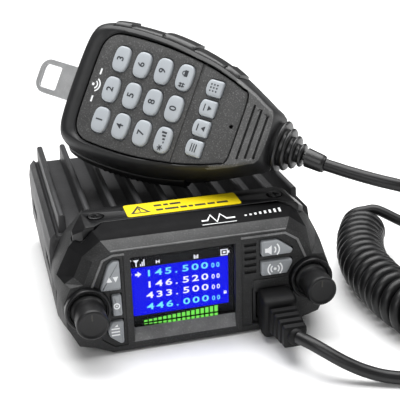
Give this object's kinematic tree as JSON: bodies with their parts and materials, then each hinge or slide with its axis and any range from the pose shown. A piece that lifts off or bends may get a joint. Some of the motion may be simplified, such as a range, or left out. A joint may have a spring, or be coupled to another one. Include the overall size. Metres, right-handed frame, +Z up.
{
  "type": "mobile transceiver",
  "caption": "Compact mobile radio with finned heatsink, screen and two knobs, and a keypad hand microphone on a curly cord.",
  "frame": {"origin": "middle of the radio's underside, on the surface it stands on", "axes": "+Z up, the front panel faces -Y, +X to the right as the user looks at the front panel"},
  "size_m": [0.1663, 0.1812, 0.101],
  "materials": {
    "chassis_black": "fine matt texture",
    "bezel_grey": "fine matt texture",
    "trim_gloss": "polished",
    "caution_yellow": "printed film",
    "screen_glass": "clear",
    "display_blue": "lit",
    "button_grey": "satin",
    "knob_black": "satin",
    "soft_rubber": "matt",
    "bright_steel": "plated",
    "black_screw": "black plated",
    "board_green": "coated",
    "black_plastic": "satin",
    "key_grey": "satin",
    "face_grey": "fine sparkle texture",
    "capsule_brass": "plain"
  },
  "bodies": {
    "radio": {"front_bezel": "bezel_grey", "heatsink_chassis": "chassis_black", "bottom_cover": "chassis_black", "top_trim_strip": "trim_gloss", "caution_label": "caution_yellow", "screen_lens": "screen_glass", "display_module": "display_blue", "left_encoder": "bright_steel", "left_trim_screw": "black_screw", "right_encoder": "bright_steel", "right_trim_screw": "black_screw", "cover_screw_1": "black_screw", "cover_screw_2": "black_screw", "mic_socket": "black_plastic", "front_board": "board_green", "main_board": "board_green", "speaker": "black_plastic", "fan_frame": "black_plastic", "antenna_socket": "bright_steel", "power_inlet": "black_plastic", "speaker_jack": "black_plastic", "mic_plug": "soft_rubber", "cord_mic_lead": "soft_rubber", "cord_coil": "soft_rubber", "cord_plug_lead": "soft_rubber"},
    "left_knob": {"left_knob": "knob_black", "left_knob_shaft": "bright_steel"},
    "right_knob": {"right_knob": "knob_black", "right_knob_shaft": "bright_steel"},
    "fan_rotor": {"fan_rotor": "black_plastic"},
    "upper_left_button": {"upper_left_button": "button_grey"},
    "middle_left_button": {"middle_left_button": "button_grey"},
    "lower_left_button": {"lower_left_button": "button_grey"},
    "upper_right_button": {"upper_right_button": "button_grey"},
    "lower_right_button": {"lower_right_button": "button_grey"},
    "hand_microphone": {"mic_front_shell": "black_plastic", "mic_back_shell": "black_plastic", "mic_face_plate": "face_grey", "mic_grip_pad": "soft_rubber", "mic_cord_boot": "soft_rubber", "mic_hanger": "bright_steel", "mic_board": "board_green", "mic_capsule": "capsule_brass"},
    "ptt_bar": {"ptt_bar": "soft_rubber"},
    "key_1": {"key_1": "key_grey"},
    "key_2": {"key_2": "key_grey"},
    "key_3": {"key_3": "key_grey"},
    "key_4": {"key_4": "key_grey"},
    "key_5": {"key_5": "key_grey"},
    "key_6": {"key_6": "key_grey"},
    "key_7": {"key_7": "key_grey"},
    "key_8": {"key_8": "key_grey"},
    "key_9": {"key_9": "key_grey"},
    "key_star": {"key_star": "key_grey"},
    "key_0": {"key_0": "key_grey"},
    "key_hash": {"key_hash": "key_grey"},
    "key_menu": {"key_menu": "key_grey"},
    "key_up": {"key_up": "key_grey"},
    "key_down": {"key_down": "key_grey"},
    "key_tone": {"key_tone": "key_grey"}
  },
  "joints": [
    {"name": "upper_left_button_press", "type": "slide", "parent": "radio", "child": "upper_left_button", "axis": [0, 1, 0], "range_m": [0, 0.0006], "stiffness_N_per_m": 400, "springref_m": -0.0005},
    {"name": "middle_left_button_press", "type": "slide", "parent": "radio", "child": "middle_left_button", "axis": [0, 1, 0], "range_m": [0, 0.0006], "stiffness_N_per_m": 400, "springref_m": -0.0005},
    {"name": "lower_left_button_press", "type": "slide", "parent": "radio", "child": "lower_left_button", "axis": [0, 1, 0], "range_m": [0, 0.0006], "stiffness_N_per_m": 400, "springref_m": -0.0005},
    {"name": "upper_right_button_press", "type": "slide", "parent": "radio", "child": "upper_right_button", "axis": [0, 1, 0], "range_m": [0, 0.0006], "stiffness_N_per_m": 400, "springref_m": -0.0005},
    {"name": "lower_right_button_press", "type": "slide", "parent": "radio", "child": "lower_right_button", "axis": [0, 1, 0], "range_m": [0, 0.0006], "stiffness_N_per_m": 400, "springref_m": -0.0005},
    {"name": "left_knob_turn", "type": "hinge", "parent": "radio", "child": "left_knob", "pos_m": [-0.0398, -0.06, 0.0193], "axis": [0, 1, 0], "range_deg": [-150, 150]},
    {"name": "right_knob_turn", "type": "hinge", "parent": "radio", "child": "right_knob", "pos_m": [0.0398, -0.06, 0.0193], "axis": [0, 1, 0], "continuous": true},
    {"name": "fan_spin", "type": "hinge", "parent": "radio", "child": "fan_rotor", "pos_m": [-0.022, 0.0471, 0.0186], "axis": [0, 1, 0], "continuous": true},
    {"name": "mic_lift", "type": "slide", "parent": "radio", "child": "hand_microphone", "axis": [0, 0, 1], "range_m": [0, 0.07]},
    {"name": "ptt_press", "type": "slide", "parent": "hand_microphone", "child": "ptt_bar", "axis": [0.4332, 0.2565, 0.864], "range_m": [0, 0.0014], "stiffness_N_per_m": 700, "springref_m": -0.0015},
    {"name": "key_1_press", "type": "slide", "parent": "hand_microphone", "child": "key_1", "axis": [0.5328, 0.7004, -0.475], "range_m": [0, 0.0007], "stiffness_N_per_m": 400, "springref_m": -0.0005},
    {"name": "key_2_press", "type": "slide", "parent": "hand_microphone", "child": "key_2", "axis": [0.5328, 0.7004, -0.475], "range_m": [0, 0.0007], "stiffness_N_per_m": 400, "springref_m": -0.0005},
    {"name": "key_3_press", "type": "slide", "parent": "hand_microphone", "child": "key_3", "axis": [0.5328, 0.7004, -0.475], "range_m": [0, 0.0007], "stiffness_N_per_m": 400, "springref_m": -0.0005},
    {"name": "key_4_press", "type": "slide", "parent": "hand_microphone", "child": "key_4", "axis": [0.5328, 0.7004, -0.475], "range_m": [0, 0.0007], "stiffness_N_per_m": 400, "springref_m": -0.0005},
    {"name": "key_5_press", "type": "slide", "parent": "hand_microphone", "child": "key_5", "axis": [0.5328, 0.7004, -0.475], "range_m": [0, 0.0007], "stiffness_N_per_m": 400, "springref_m": -0.0005},
    {"name": "key_6_press", "type": "slide", "parent": "hand_microphone", "child": "key_6", "axis": [0.5328, 0.7004, -0.475], "range_m": [0, 0.0007], "stiffness_N_per_m": 400, "springref_m": -0.0005},
    {"name": "key_7_press", "type": "slide", "parent": "hand_microphone", "child": "key_7", "axis": [0.5328, 0.7004, -0.475], "range_m": [0, 0.0007], "stiffness_N_per_m": 400, "springref_m": -0.0005},
    {"name": "key_8_press", "type": "slide", "parent": "hand_microphone", "child": "key_8", "axis": [0.5328, 0.7004, -0.475], "range_m": [0, 0.0007], "stiffness_N_per_m": 400, "springref_m": -0.0005},
    {"name": "key_9_press", "type": "slide", "parent": "hand_microphone", "child": "key_9", "axis": [0.5328, 0.7004, -0.475], "range_m": [0, 0.0007], "stiffness_N_per_m": 400, "springref_m": -0.0005},
    {"name": "key_star_press", "type": "slide", "parent": "hand_microphone", "child": "key_star", "axis": [0.5328, 0.7004, -0.475], "range_m": [0, 0.0007], "stiffness_N_per_m": 400, "springref_m": -0.0005},
    {"name": "key_0_press", "type": "slide", "parent": "hand_microphone", "child": "key_0", "axis": [0.5328, 0.7004, -0.475], "range_m": [0, 0.0007], "stiffness_N_per_m": 400, "springref_m": -0.0005},
    {"name": "key_hash_press", "type": "slide", "parent": "hand_microphone", "child": "key_hash", "axis": [0.5328, 0.7004, -0.475], "range_m": [0, 0.0007], "stiffness_N_per_m": 400, "springref_m": -0.0005},
    {"name": "key_menu_press", "type": "slide", "parent": "hand_microphone", "child": "key_menu", "axis": [0.5328, 0.7004, -0.475], "range_m": [0, 0.0007], "stiffness_N_per_m": 400, "springref_m": -0.0005},
    {"name": "key_up_press", "type": "slide", "parent": "hand_microphone", "child": "key_up", "axis": [0.5328, 0.7004, -0.475], "range_m": [0, 0.0007], "stiffness_N_per_m": 400, "springref_m": -0.0005},
    {"name": "key_down_press", "type": "slide", "parent": "hand_microphone", "child": "key_down", "axis": [0.5328, 0.7004, -0.475], "range_m": [0, 0.0007], "stiffness_N_per_m": 400, "springref_m": -0.0005},
    {"name": "key_tone_press", "type": "slide", "parent": "hand_microphone", "child": "key_tone", "axis": [0.5328, 0.7004, -0.475], "range_m": [0, 0.0007], "stiffness_N_per_m": 400, "springref_m": -0.0005}
  ]
}
